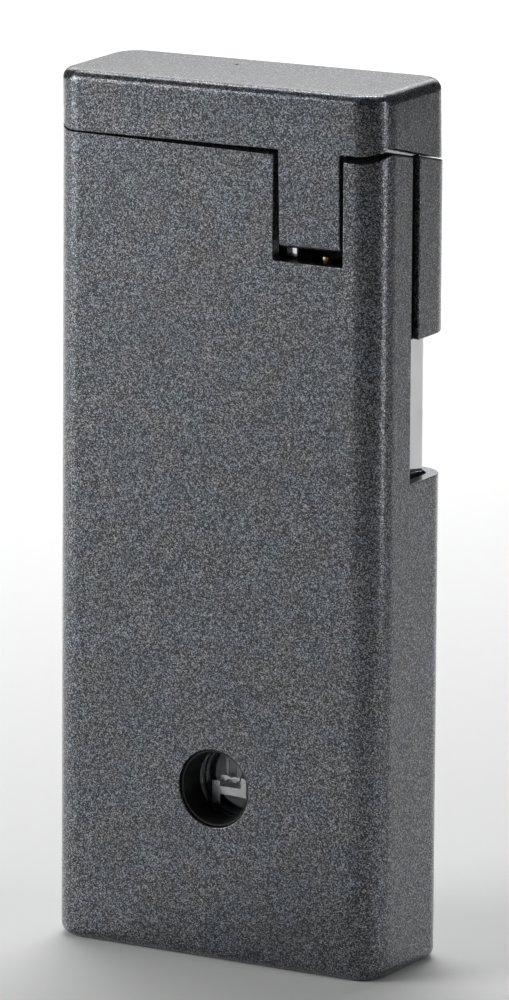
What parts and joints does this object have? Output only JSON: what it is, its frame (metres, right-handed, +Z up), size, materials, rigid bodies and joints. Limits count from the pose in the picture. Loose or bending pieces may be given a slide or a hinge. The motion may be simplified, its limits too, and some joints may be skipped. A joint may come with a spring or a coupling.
{
  "type": "pocket lighter",
  "caption": "Slim pocket lighter: painted metal shell, rear-hinged cap with a front tongue, side thumb slide and a round fuel window.",
  "frame": {"origin": "centre of the flat base, in the plane it stands on", "axes": "+Z up along the body, -Y out of the front with the fuel window, +X towards the thumb slide"},
  "size_m": [0.0298, 0.0122, 0.0705],
  "materials": {
    "painted_body": "dark metallic paint, fine sparkle, satin",
    "chrome": "polished",
    "tank_metal": "drawn sheet, satin",
    "steel": "satin",
    "spring_steel": "drawn wire",
    "brass": "turned",
    "striker_steel": "hardened, knurled",
    "flint_alloy": "dull grey rod",
    "black_plastic": "moulded",
    "black_rubber": "matt",
    "clear_lens": "clear, polished"
  },
  "bodies": {
    "base": {"outer_shell": "painted_body", "inner_sleeve": "chrome", "windguard": "chrome", "fuel_tank": "tank_metal", "tank_base": "tank_metal", "tank_screw": "steel", "window_bezel": "black_plastic", "window_lens": "clear_lens", "window_seal": "black_rubber", "pickup_pin": "steel", "pickup_clip": "steel", "refill_valve_body": "brass", "refill_valve_seal": "black_rubber", "refill_valve_spring": "spring_steel", "valve_body": "brass", "valve_spring": "spring_steel", "lever_pin": "steel", "striker_bracket": "steel", "flint": "flint_alloy", "flint_tube": "brass", "flint_spring": "spring_steel", "flint_screw": "brass", "guide_rod": "steel", "guide_bridge": "steel", "slider_spring": "spring_steel", "body_hinge_leaf": "steel", "hinge_pin": "steel", "body_rivets": "steel"},
    "slider": {"slider_cover": "painted_body", "slider_carriage": "black_plastic", "slider_rack": "steel"},
    "striker": {"striker_axle": "steel", "striker_wheel": "striker_steel", "drive_pinion": "steel"},
    "lever": {"gas_lever": "steel"},
    "jet": {"burner_jet": "brass", "valve_seal": "black_rubber"},
    "cap": {"cap_shell": "painted_body", "cap_pad": "black_plastic", "cap_hinge_leaf": "steel", "cap_rivets": "steel"},
    "adjuster": {"flame_adjuster": "brass", "adjuster_rod": "steel"},
    "refill_stem": {"refill_valve_stem": "steel"}
  },
  "joints": [
    {"name": "slider_slide", "type": "slide", "parent": "base", "child": "slider", "axis": [0, 0, -1], "range_m": [0, 0.01], "stiffness_N_per_m": 200, "springref_m": -0.004, "deforming": ["slider_spring"]},
    {"name": "striker_spin", "type": "hinge", "parent": "base", "child": "striker", "pos_m": [0.008, 0.00015, 0.0536], "axis": [0, 1, 0], "range_deg": [0, 328]},
    {"name": "lever_pivot", "type": "hinge", "parent": "base", "child": "lever", "pos_m": [0.0085, 0, 0.0566], "axis": [-1, 0, 0], "range_deg": [0, 13.7]},
    {"name": "jet_lift", "type": "slide", "parent": "base", "child": "jet", "axis": [0, 0, 1], "range_m": [0, 0.00066], "deforming": ["valve_spring"]},
    {"name": "cap_hinge", "type": "hinge", "parent": "base", "child": "cap", "pos_m": [0, 0.0057, 0.06384], "axis": [-1, 0, 0], "range_deg": [0, 100]},
    {"name": "flame_adjust", "type": "hinge", "parent": "base", "child": "adjuster", "pos_m": [0.00842, -0.0027, 0.001], "axis": [0, 0, 1], "range_deg": [-150, 150]},
    {"name": "refill_press", "type": "slide", "parent": "base", "child": "refill_stem", "axis": [0, 0, 1], "range_m": [0, 0.0008], "stiffness_N_per_m": 600, "springref_m": -0.001, "deforming": ["refill_valve_spring"]}
  ],
  "couplings": [
    {"joint": "striker_spin", "follows": "slider_slide", "rad_per_m": 571.43},
    {"joint": "lever_pivot", "follows": "slider_slide", "rad_per_m": 23.8},
    {"joint": "jet_lift", "follows": "slider_slide", "ratio": 0.066}
  ]
}
